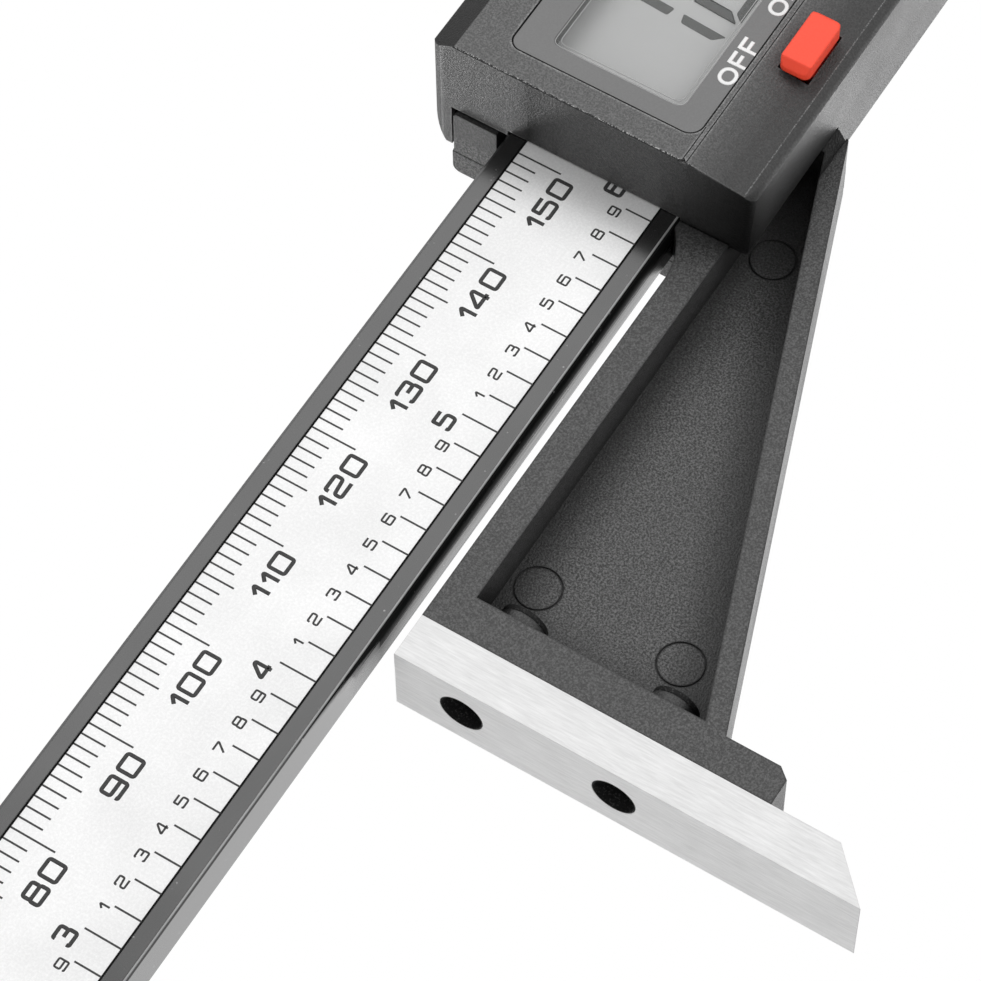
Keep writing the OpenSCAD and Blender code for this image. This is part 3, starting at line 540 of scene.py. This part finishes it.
addToneAcross(finish["coverGrey"])
addSideSheen(finish["beamBlack"])

nodeFinish = {
    "beam": "beamBlack", "scale_board": "boardGreen", "scale_label": "labelSilver", "end_cap": "baseBlack",
    "end_cap_screw": "screwBlack", "base_body": "baseBlack", "foot_plate": "barAluminium",
    "foot_magnets": "nickel", "foot_screws": "screwBlack", "beam_screws": "screwBlack",
    "slider_body": "legBlack", "front_cover": "coverGrey", "rear_cover": "legBlack",
    "rear_cover_screws": "screwBlack", "jaw_bar": "barAluminium", "jaw_screws": "screwBlack",
    "display_label": "panelGrey", "lcd_window": "clear", "lcd_panel": "lcdGrey", "lcd_holder": "ivory",
    "zebra_strips": "rubber", "circuit_board": "boardGreen", "board_screws": "nickel",
    "switch_block": "nickel", "button_domes": "brass", "battery": "nickel", "battery_contacts": "brass",
    "gib_spring": "brass", "lock_insert": "brass", "lock_shoe": "brass", "power_knob": "knobRed",
    "zero_button": "buttonSilver", "unit_button": "buttonSilver", "battery_door": "doorGrey",
    "lock_screw": "screwBlack",
}
for name, key in nodeFinish.items():
    slots = nodes[name].data.materials
    slots.clear()
    slots.append(finish[key])
print("finishes set")


# lettering: each glyph is one or more strokes on a box 1 high
lettering = {"ink": 0.012, "flat": 0.1, "overlap": 0.25, "cornerSteps": 4}
glyphStrokes = {
    # (width for its height, [(closed, points)]) with x to the right and y up, both 0..1 of the skeleton box;
    # a third number makes that corner rounder or sharper
    "0": (1.0, [(True, [(0, 0), (1, 0), (1, 1), (0, 1)])]),
    "1": (0.42, [(False, [(0, 0.62), (1, 1), (1, 0)])]),
    "2": (1.0, [(False, [(0, 0.78), (0, 1), (1, 1), (1, 0.52), (0, 0.42), (0, 0), (1, 0)])]),
    "3": (0.98, [(False, [(0, 0.86), (0, 1), (0.94, 1), (0.94, 0.53), (0.35, 0.53)]),
                 (False, [(0.35, 0.53), (1, 0.53), (1, 0), (0, 0), (0, 0.16)])]),
    "4": (1.0, [(False, [(0.78, 0), (0.78, 1), (0.6, 1), (0, 0.3), (0, 0.22), (1, 0.22)])]),
    "5": (1.0, [(False, [(0.97, 1), (0.04, 1, 0.2), (0.04, 0.58, 0.2), (1, 0.58, 1.3), (1, 0, 1.3), (0, 0),
                         (0, 0.16)])]),
    "6": (1.0, [(False, [(0.96, 0.86), (0.96, 1), (0, 1), (0, 0), (1, 0), (1, 0.58), (0.04, 0.58)])]),
    "7": (1.0, [(False, [(0, 1), (1, 1), (1, 0.9), (0.3, 0)])]),
    "8": (1.0, [(True, [(0, 0), (1, 0), (1, 0.53), (0, 0.53)]),
                (True, [(0.05, 0.53), (0.95, 0.53), (0.95, 1), (0.05, 1)])]),
    "9": (1.0, [(False, [(0.04, 0.14), (0.04, 0), (1, 0), (1, 1), (0, 1), (0, 0.42), (0.96, 0.42)])]),
    "O": (1.12, [(True, [(0, 0.5), (0.03, 0.31), (0.13, 0.13), (0.3, 0.025), (0.5, 0), (0.7, 0.025), (0.87, 0.13),
                         (0.97, 0.31), (1, 0.5), (0.97, 0.69), (0.87, 0.87), (0.7, 0.975), (0.5, 1),
                         (0.3, 0.975), (0.13, 0.87), (0.03, 0.69)])]),
    "N": (0.92, [(False, [(0, 0), (0, 1)]), (False, [(0, 0.96), (1, 0.04)]), (False, [(1, 0), (1, 1)])]),
    "F": (0.8, [(False, [(0, -0.12), (0, 1)]), (False, [(-0.13, 1), (1.12, 1)]), (False, [(0, 0.48), (0.98, 0.48)])]),
    "E": (0.8, [(False, [(0, 0), (0, 1)]), (False, [(-0.13, 1), (1.1, 1)]), (False, [(0, 0.5), (1, 0.5)]),
                (False, [(-0.13, 0), (1.1, 0)])]),
    "Z": (0.85, [(False, [(-0.1, 1), (1.1, 1)]), (False, [(1, 0.95), (0, 0.05)]), (False, [(-0.1, 0), (1.1, 0)])]),
    "R": (0.85, [(False, [(0, -0.12), (0, 1), (1, 1), (1, 0.46), (0, 0.46)]), (False, [(0.5, 0.46), (1, -0.1)])]),
    "m": (1.25, [(False, [(0, 0), (0, 0.68), (1, 0.68), (1, 0)]), (False, [(0.5, 0.66), (0.5, 0)])]),
    "n": (0.62, [(False, [(0, 0), (0, 0.68), (1, 0.68), (1, 0)])]),
    "i": (0.01, [(False, [(0, 0), (0, 0.7)]), (False, [(0, 0.88), (0, 1.05)])]),
    "/": (0.5, [(False, [(0, -0.1), (1, 1.1)])]),
}
# what is drawn lying flat is turned to stand on the front, reading upwards
onFront = Matrix(((0, -1, 0), (0, 0, -1), (1, 0, 0)))


def roundedCorner(before, corner, after, radius, steps):
    toBefore = (before - corner).normalized()
    toAfter = (after - corner).normalized()
    reach = min(radius, (before - corner).length / 2, (after - corner).length / 2)
    start, end = corner + toBefore * reach, corner + toAfter * reach
    shares = [i / steps for i in range(steps + 1)]
    return [(1 - t) ** 2 * start + 2 * t * (1 - t) * corner + t * t * end for t in shares]


def makeLine(name, path, radius, closed):
    # a round line along a path, as a mesh
    curve = bpy.data.curves.new(name, "CURVE")
    curve.dimensions = "3D"
    curve.bevel_depth = radius
    curve.bevel_resolution = 1
    curve.use_fill_caps = True
    spline = curve.splines.new("POLY")
    spline.points.add(len(path) - 1)
    for point, place in zip(spline.points, path):
        point.co = (*place, 1)
    spline.use_cyclic_u = closed
    line = bpy.data.objects.new(name, curve)
    bpy.context.collection.objects.link(line)
    activate(line)
    bpy.ops.object.convert(target="MESH")
    return bpy.context.active_object


def drawText(text, style, face, z, before, name):
    # strokes are round lines pressed flat on the surface they are printed on;
    # before says how much of the text's length comes before its place: none, half or all of it
    pieces = []
    cursor = 0.0
    weight = style["stroke"]
    body = style["height"] - weight
    for letter in text:
        wide, strokes = glyphStrokes[letter]
        width = body * wide * style["squeeze"]
        for level, (closed, points) in enumerate(strokes):
            corners = [Vector((cursor + weight / 2 + p[0] * width, weight / 2 + p[1] * body, 0)) for p in points]
            path = []
            for i, corner in enumerate(corners):
                if not closed and i in (0, len(corners) - 1):
                    path.append(corner)
                    continue
                soft = points[i][2] if len(points[i]) > 2 else 1
                path += roundedCorner(corners[i - 1], corner, corners[(i + 1) % len(corners)],
                                      style["round"] * style["height"] * soft, lettering["cornerSteps"])
            stroke = makeLine(name, path, weight / 2, closed)
            flat = weight * lettering["flat"]
            for vertex in stroke.data.vertices:
                side = (vertex.co.z > flat) - (vertex.co.z < -flat)
                vertex.co.z = side * lettering["ink"] * (1 + lettering["overlap"] * level)
            pieces.append(stroke)
        cursor += width + weight + style["gap"]
    length = cursor - style["gap"]
    drawn = joinPieces(pieces, name)
    start = Vector((style["base"], face, z - style["end"] - before * length))
    for vertex in drawn.data.vertices:
        vertex.co = (onFront @ vertex.co + start) * mm
    return drawn


# scale print on the label
scale = {
    "zero": 44.6, "left": -6.18, "right": 6.18, "face": 0.0, "ink": 0.012,
    "mmTicks": (2.14, 2.78, 3.93), "inchTicks": (2.34, 3.2), "tickWidth": 0.15, "tenth": 2.54,
    "last": 150, "lastInch": 6,
    # letters: squeeze across, the line they stand on and the gap from their end to the tick
    "mmText": {"height": 1.79, "stroke": 0.33, "gap": 0.34, "squeeze": 1.0, "round": 0.12, "base": -0.69,
               "end": 0.4},
    "inchText": {"height": 0.99, "stroke": 0.17, "gap": 0.1, "squeeze": 0.93, "round": 0.12, "base": 3.69,
                 "end": 0.22},
    "bigText": {"height": 1.71, "stroke": 0.32, "gap": 0.2, "squeeze": 0.83, "round": 0.12, "base": 2.98,
                "end": 0.49},
}


def drawTicks(name, start, length, places):
    # a negative length runs to the left
    left, right = sorted((start, start + length))
    face, ink, half = scale["face"], scale["ink"], scale["tickWidth"] / 2
    z = scale["zero"] + places[0]
    ticks = addBox((left, face - ink, z - half), (right, face + ink, z + half), name)
    mesh = bmesh.new()
    mesh.from_mesh(ticks.data)
    shape = list(mesh.verts) + list(mesh.edges) + list(mesh.faces)
    for place in places[1:]:
        copied = bmesh.ops.duplicate(mesh, geom=shape)["geom"]
        corners = [e for e in copied if isinstance(e, bmesh.types.BMVert)]
        bmesh.ops.translate(mesh, verts=corners, vec=Vector((0, 0, (place - places[0]) * mm)))
    mesh.to_mesh(ticks.data)
    mesh.free()
    return ticks


def drawScale():
    short, middle, long = scale["mmTicks"]
    tenthTick, inchTick = scale["inchTicks"]
    tenth, zero, face = scale["tenth"], scale["zero"], scale["face"]
    millimetres, tenths = range(scale["last"] + 1), range(scale["lastInch"] * 10 + 1)
    pieces = [
        drawTicks("ticks1", scale["left"], short, [i for i in millimetres if i % 5]),
        drawTicks("ticks5", scale["left"], middle, [i for i in millimetres if i % 10 == 5]),
        drawTicks("ticks10", scale["left"], long, [i for i in millimetres if i % 10 == 0]),
        drawTicks("tenths", scale["right"], -tenthTick, [i * tenth for i in tenths if i % 10]),
        drawTicks("inches", scale["right"], -inchTick, [i * tenth for i in tenths if i % 10 == 0]),
    ]
    for i in millimetres[::10]:
        pieces.append(drawText(str(i), scale["mmText"], face, zero + i, 1, "number"))
    for i in tenths:
        style = scale["inchText"] if i % 10 else scale["bigText"]
        pieces.append(drawText(str(i % 10 or i // 10), style, face, zero + i * tenth, 1, "inch"))
    return joinPieces(pieces, "scale_print")


scalePrint = drawScale()
scalePrint.data.materials.clear()
scalePrint.data.materials.append(finish["printBlack"])
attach(scalePrint, "stand")
print("scale printed:", len(scalePrint.data.polygons), "faces")

labelGap = {"inner": (6.17, 6.1), "outer": 6.298, "face": -0.012, "back": 0.2, "margin": 0.05, "edge": 0.02}


def fillLabelGap():
    # dark strips painted in the narrow gaps between the label and the walls of its channel, standing for the shade in
    # these gaps
    low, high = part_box("scale_label")
    bottom, top = low[2] / mm + labelGap["margin"], high[2] / mm - labelGap["margin"]
    strips = []
    for side, inner in zip((-1, 1), labelGap["inner"]):
        left, right = sorted((side * inner, side * labelGap["outer"]))
        strips.append(addBox((left, labelGap["face"], bottom), (right, labelGap["back"], top), "gap_shade"))
        roundEdges(strips[-1], labelGap["edge"])
    return joinPieces(strips, "label_gap_shade")


labelGapShade = fillLabelGap()
labelGapShade.data.materials.append(finish["gapShadeBlack"])
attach(labelGapShade, "stand")
print("label gap shade drawn")

beamArris = {"inner": 7.66, "outer": 7.79, "front": -0.106, "back": 0.1, "fromFoot": 0.3, "fromTop": 4, "edge": 0.01}


def drawBeamArris():
    # a painted highlight: a pale strip along the beam's front right edge, standing for the light it catches
    low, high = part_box("beam")
    strip = addBox((beamArris["inner"], beamArris["front"], low[2] / mm + beamArris["fromFoot"]),
                   (beamArris["outer"], beamArris["back"], high[2] / mm - beamArris["fromTop"]), "beam_arris")
    roundEdges(strip, beamArris["edge"])
    return strip


arris = drawBeamArris()
arris.data.materials.append(finish["arrisHighlightGrey"])
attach(arris, "stand")
print("arris highlight drawn")

# the bar's bores, lined with dark sleeves standing for the shade inside them, and the bosses over them
barBores = {
    "places": [15.6, 28.85], "depth": 3.7, "radius": 1.87, "wall": 0.09, "low": 151.27, "high": 153.98,
    "bossRadius": 1.98, "bossLow": 160.0, "bossHigh": 160.5, "bossBack": 4.3, "bossEdge": 0.1,
    "sides": 64, "smoothAngle": 0.6,
}


def addBarrel(x, radius, low, high, **ends):
    deselectAll()
    bpy.ops.mesh.primitive_cylinder_add(vertices=barBores["sides"], radius=radius * mm, depth=(high - low) * mm,
                                        location=(x * mm, barBores["depth"] * mm, (high + low) / 2 * mm), **ends)
    barrel = bpy.context.active_object
    applyPlace(barrel)
    return barrel


def lineBores():
    liners = []
    for x in barBores["places"]:
        liner = addBarrel(x, barBores["radius"], barBores["low"], barBores["high"], end_fill_type="NOTHING")
        wall = liner.modifiers.new("wall", "SOLIDIFY")
        wall.thickness = barBores["wall"] * mm
        wall.offset = -1
        applyModifiers(liner)
        bpy.ops.object.shade_smooth_by_angle(angle=barBores["smoothAngle"])
        liners.append(liner)
    return joinPieces(liners, "bore_shade_liners")


def raiseBosses():
    bosses = []
    for x in barBores["places"]:
        boss = addBarrel(x, barBores["bossRadius"], barBores["bossLow"], barBores["bossHigh"])
        bpy.ops.object.mode_set(mode="EDIT")
        bpy.ops.mesh.select_all(action="SELECT")
        bpy.ops.mesh.bisect(plane_co=(0, barBores["bossBack"] * mm, 0), plane_no=(0, 1, 0), use_fill=True,
                            clear_outer=True)
        bpy.ops.object.mode_set(mode="OBJECT")
        roundEdges(boss, barBores["bossEdge"], segments=3, limit_method="ANGLE")
        bpy.ops.object.shade_smooth_by_angle(angle=barBores["smoothAngle"])
        bosses.append(boss)
    return joinPieces(bosses, "leg_bosses")


boreShadeLiners = lineBores()
legBosses = raiseBosses()
for piece, key, slot in ((boreShadeLiners, "boreBlack", "black_steel"), (legBosses, "boreBlack", "black_moulded")):
    piece.data.materials.clear()
    piece.data.materials.append(finish[key])
    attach(piece, "head")
print("bores lined, bosses raised")


# display: segments on the liquid crystal, words on the label and thin pale lines round the window, a painted
# highlight along its bevelled edges
display = {
    "face": -5.7, "ink": 0.02, "text": "10000", "pointAfter": 2,
    "start": 204.03, "bottom": 4.4, "height": 9.6, "width": 5.2, "pitch": 6.7, "slant": 0.07,
    "stroke": 0.88, "mitre": 0.9, "corner": 0.3, "waist": 0.44, "waistMitre": 0.22, "blunt": 0.14,
    # mitre and depth of the foot, as shares of the upright's mitre and stroke
    "footMitre": 0.7, "footDepth": 0.9,
    "labelFace": -7.8, "words": [("OFF", 203.85), ("ON", 211.72)],
    "wordText": {"height": 1.62, "stroke": 0.35, "gap": 0.24, "squeeze": 1.0, "round": 0.08, "base": 7.62,
                 "end": 0.0},
    "legends": [("ZERO", 226.35), ("mm/in", 237.35)],
    "legendText": {"height": 1.3, "stroke": 0.22, "gap": 0.26, "squeeze": 1.0, "round": 0.08, "base": 7.2,
                   "end": 0.0},
}
segmentsLit = {"0": "abcdef", "1": "bc"}


def makeSegment(corners, name):
    # a flat piece, made from a box 1 mm wide and high: its four corners are given round from the low left one,
    # and its points are blunted
    ink = display["ink"]
    bar = addBox((0, 0, -ink), (1, 1, ink), name)
    for vertex in bar.data.vertices:
        right, top = vertex.co.x > 0.5 * mm, vertex.co.y > 0.5 * mm
        x, y = corners[(2 if top else 1) if right else (3 if top else 0)]
        vertex.co.x, vertex.co.y = x * mm, y * mm
    for edge in bar.data.edges:
        low, high = [bar.data.vertices[i].co for i in edge.vertices]
        edge.select = abs(low.z - high.z) > ink * mm
    for face in bar.data.polygons:
        face.select = False
    bpy.ops.object.mode_set(mode="EDIT")
    bpy.ops.mesh.select_mode(type="EDGE")
    bpy.ops.mesh.bevel(offset=display["blunt"] * mm, offset_type="OFFSET", segments=2, affect="EDGES")
    bpy.ops.mesh.select_all(action="SELECT")
    bpy.ops.mesh.normals_make_consistent(inside=False)
    bpy.ops.object.mode_set(mode="OBJECT")
    return bar


def drawDigits():
    high, wide, stroke = (display[key] for key in ("height", "width", "stroke"))
    mitre, corner, waist, waistMitre = (display[key] for key in ("mitre", "corner", "waist", "waistMitre"))
    middle, half = high / 2, stroke / 2
    # the low left upright and the foot; the others are their mirror images
    upright = [(0, corner), (stroke, corner + mitre), (stroke, middle - waist - waistMitre), (0, middle - waist)]
    footIn, footDepth = corner + mitre * display["footMitre"], stroke * display["footDepth"]
    foot = [(corner, 0), (wide - corner, 0), (wide - footIn, footDepth), (footIn, footDepth)]
    shapes = {
        "e": upright, "c": [(wide - x, y) for x, y in upright], "f": [(x, high - y) for x, y in upright],
        "b": [(wide - x, high - y) for x, y in upright],
        "d": foot, "a": [(x, high - y) for x, y in foot],
    }
    made = {key: makeSegment(corners, "segment") for key, corners in shapes.items()}
    made["point"] = makeSegment([(-half, 0), (half, 0), (half, stroke), (-half, stroke)], "point")
    pieces = []

    def place(key, x):
        copied = made[key].copy()
        copied.data = made[key].data.copy()
        bpy.context.collection.objects.link(copied)
        copied.data.transform(Matrix.Translation(Vector((x, 0, 0)) * mm))
        pieces.append(copied)

    for i, letter in enumerate(display["text"]):
        for key in segmentsLit[letter]:
            place(key, i * display["pitch"])
    place("point", display["pointAfter"] * display["pitch"] + wide + (display["pitch"] - wide) / 2)
    for source in made.values():
        bpy.data.objects.remove(source)
    digits = joinPieces(pieces, "display_digits")
    lean = Matrix(((1, display["slant"], 0, 0), (0, 1, 0, 0), (0, 0, 1, 0), (0, 0, 0, 1)))
    start = Vector((display["bottom"], display["face"], display["start"])) * mm
    digits.data.transform(Matrix.Translation(start) @ onFront.to_4x4() @ lean)
    return digits


def drawWords():
    face = display["labelFace"]
    pieces = [drawText(text, display["wordText"], face, start, 0, "word") for text, start in display["words"]]
    for text, middle in display["legends"]:
        pieces.append(drawText(text, display["legendText"], face, middle, 0.5, "legend"))
    return joinPieces(pieces, "display_words")


# thin pale lines round the window mark the edges of its bevel; their pale colour is a painted highlight
windowBead = {
    "low": (-6.65, 200.2), "high": (5.4, 240.15), "corner": 0.7, "turnSteps": 6,
    # how far inside the window, depth and thickness of each line
    "lines": [(0.1, -7.8, 0.03), (0.45, -7.68, 0.03)],
}


def makeBead(inset, face, radius):
    (x0, z0), (x1, z1) = windowBead["low"], windowBead["high"]
    left, right, low, high = x0 + inset, x1 - inset, z0 + inset, z1 - inset
    corners = [Vector((x, face, z)) for x, z in ((left, low), (right, low), (right, high), (left, high))]
    path = []
    for i, corner in enumerate(corners):
        path += roundedCorner(corners[i - 1], corner, corners[(i + 1) % 4], windowBead["corner"],
                              windowBead["turnSteps"])
    return makeLine("bead", [point * mm for point in path], radius * mm, True)


digits = drawDigits()
words = drawWords()
bead = joinPieces([makeBead(*line) for line in windowBead["lines"]], "window_bead")
for piece, key, slot in ((digits, "printGrey", "liquid_crystal"), (words, "printWhite", "grey_print"),
                         (bead, "beadHighlightGrey", "grey_print")):
    piece.data.materials.clear()
    piece.data.materials.append(finish[key])
    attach(piece, "head")
print("display drawn")


# floor, light and camera
studio = {
    "floor": 0.88, "floorRoughness": 0.6, "floorSize": 3.0, "world": 0.58,
    "lamps": [
        # name, place, aim, size, power
        ("key", (-0.46, -0.8, 0.66), (0.01, 0, 0.17), 0.55, 3.2),
        ("edge", (0.44, -0.7, 0.56), (0.02, 0, 0.17), 0.26, 1.5),
        ("fill", (0.72, -0.62, 0.08), (0.02, 0, 0.17), 0.4, 0.15),
        ("low back", (-0.35, 0.45, 0.04), (0, 0, 0.19), 0.14, 1.0),
        ("rear", (0.28, 0.86, 0.8), (0.014, 0, 0.2), 0.5, 1.5),
    ],
}


def makeFloor():
    deselectAll()
    bpy.ops.mesh.primitive_plane_add(size=studio["floorSize"], location=(0, 0, 0))
    floor = bpy.context.active_object
    floor.name = "table_top"
    material, _, shader = newMaterial("pale table")
    shader["Base Color"].default_value = grey(studio["floor"])
    shader["Roughness"].default_value = studio["floorRoughness"]
    floor.data.materials.append(material)
    return floor


def makeWorld():
    world = bpy.data.worlds.new("studio")
    bpy.context.scene.world = world
    world.use_nodes = True
    tree = world.node_tree
    background = tree.nodes["Background"].inputs
    background["Color"].default_value = grey(1)
    path = addNode(tree, "ShaderNodeLightPath").outputs
    seen = addMath(tree, "MAXIMUM", path["Is Camera Ray"], path["Is Glossy Ray"])
    straight = addMath(tree, "MAXIMUM", seen, path["Is Transmission Ray"])
    tree.links.new(addRange(tree, straight, 0.0, 1.0, studio["world"], 1.0), background["Strength"])


def makeLamps():
    for name, place, aim, size, power in studio["lamps"]:
        lamp = bpy.data.lights.new(name, "AREA")
        lamp.shape = "SQUARE"
        lamp.size = size
        lamp.energy = power
        holder = bpy.data.objects.new(name, lamp)
        bpy.context.collection.objects.link(holder)
        holder.location = place
        holder.rotation_euler = (Vector(aim) - Vector(place)).to_track_quat("-Z", "Y").to_euler()


view = {
    "place": (0.09879, -0.28093, 0.02651), "right": (0.8485, 0.0085, 0.5291), "forward": (-0.2765, 0.8596, 0.4297),
    "focalPixels": 4310.775, "imagePixels": 981, "sensor": 36, "clip": (0.01, 20),
}


def makeCamera():
    camera = bpy.data.cameras.new("photo camera")
    camera.sensor_width = view["sensor"]
    camera.lens = view["sensor"] * view["focalPixels"] / view["imagePixels"]
    camera.clip_start, camera.clip_end = view["clip"]
    holder = bpy.data.objects.new("photo camera", camera)
    bpy.context.collection.objects.link(holder)
    back = -Vector(view["forward"]).normalized()
    right = Vector(view["right"])
    right = (right - back * right.dot(back)).normalized()
    turn = Matrix((right, back.cross(right), back)).transposed().to_4x4()
    holder.matrix_world = Matrix.Translation(view["place"]) @ turn
    bpy.context.scene.camera = holder


makeFloor()
makeWorld()
makeLamps()
makeCamera()
bpy.context.scene.view_settings.view_transform = "Standard"
print("studio set")
